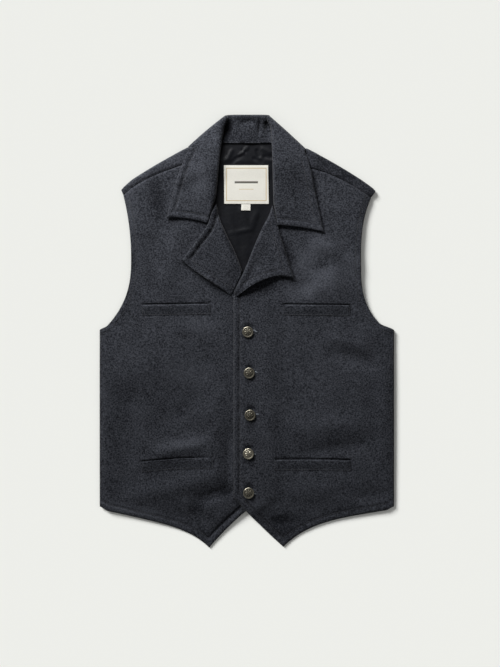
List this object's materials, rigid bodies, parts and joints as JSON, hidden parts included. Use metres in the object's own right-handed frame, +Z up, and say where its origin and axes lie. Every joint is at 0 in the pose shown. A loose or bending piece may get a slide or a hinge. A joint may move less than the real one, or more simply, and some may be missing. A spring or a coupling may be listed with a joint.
{
  "type": "wool vest laid flat",
  "caption": "Sleeveless charcoal wool vest lying flat on its back, buttoned, with a turned-down collar, open lapels, welt pockets and a pointed front hem.",
  "frame": {"origin": "on the surface the vest lies on, under the middle of its outline", "axes": "+Y along the vest from the hem points to the collar, +X to the right as seen from above, +Z up from the surface"},
  "size_m": [0.5308, 0.779, 0.0187],
  "materials": {
    "charcoal_wool": "felted charcoal melton with a short matt nap",
    "black_lining": "black satin lining, soft sheen",
    "aged_brass": "dark antique plating, worn brighter on the rim",
    "cream_label": "cream woven tape"
  },
  "bodies": {
    "root": {"back": "charcoal_wool", "back_lining": "black_lining", "front_left": "charcoal_wool", "front_right": "charcoal_wool", "lapel_left": "charcoal_wool", "lapel_right": "charcoal_wool", "collar_fall": "charcoal_wool", "collar_stand": "charcoal_wool", "welt_upper_left": "charcoal_wool", "welt_upper_right": "charcoal_wool", "welt_lower_left": "charcoal_wool", "welt_lower_right": "charcoal_wool", "button_1": "aged_brass", "button_2": "aged_brass", "button_3": "aged_brass", "button_4": "aged_brass", "button_5": "aged_brass", "label": "cream_label", "size_tab": "cream_label"}
  },
  "joints": []
}
